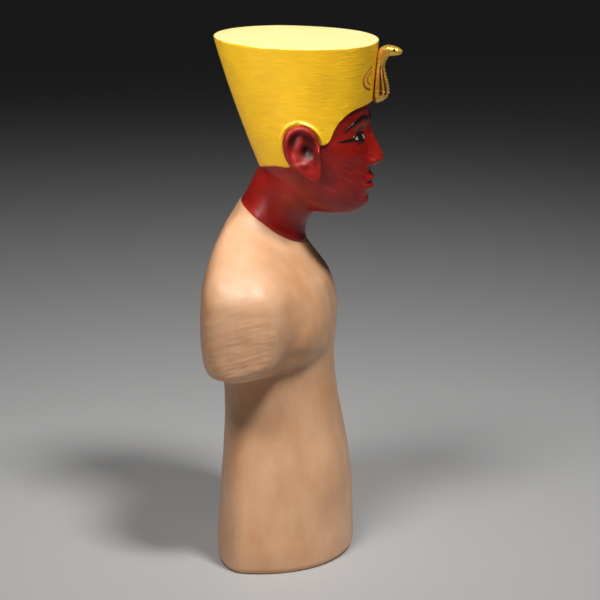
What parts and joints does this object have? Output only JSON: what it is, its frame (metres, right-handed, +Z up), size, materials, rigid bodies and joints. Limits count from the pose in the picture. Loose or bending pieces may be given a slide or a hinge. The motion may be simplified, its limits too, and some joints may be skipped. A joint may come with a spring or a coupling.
{
  "type": "pharaoh mannequin figure",
  "caption": "Small painted cast figure: an armless display torso with a bare neck and head, a flat-topped crown and a gilt cobra on its front.",
  "frame": {"origin": "middle of the flat underside that the figure stands on", "axes": "+Z up along the figure, -Y the way its face looks, -X its right side"},
  "size_m": [0.1264, 0.0945, 0.258],
  "materials": {
    "painted_casting": "hand-painted cast resin: cream satin shirt, red-brown varnished skin, yellow crown",
    "gilding": "gloss gilding with brown in the hollows"
  },
  "bodies": {
    "root": {"mannequin": "painted_casting", "uraeus": "gilding"}
  },
  "joints": []
}
